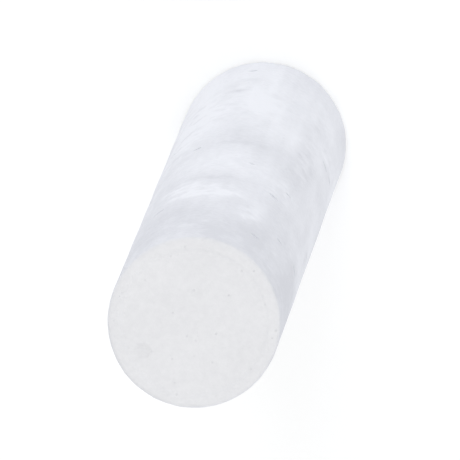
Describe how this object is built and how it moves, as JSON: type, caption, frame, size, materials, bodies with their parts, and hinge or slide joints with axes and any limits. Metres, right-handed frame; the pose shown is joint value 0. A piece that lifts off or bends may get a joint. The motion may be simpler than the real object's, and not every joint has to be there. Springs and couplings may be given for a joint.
{
  "type": "chalk stick",
  "caption": "Slim, slightly tapered round stick of white chalk for writing on a blackboard, with softly rounded rims and a flat foot that it stands on.",
  "frame": {"origin": "centre of the wide, scraped foot, on the surface that the stick stands on", "axes": "+Z along the stick's axis from the foot to the narrow head; -Y towards the side that the picture shows"},
  "size_m": [0.01, 0.01, 0.08],
  "materials": {
    "chalk": "set plaster, dry, matt and powdery, white with a faint cool tint"
  },
  "bodies": {
    "root": {"chalk_stick": "chalk"}
  },
  "joints": []
}
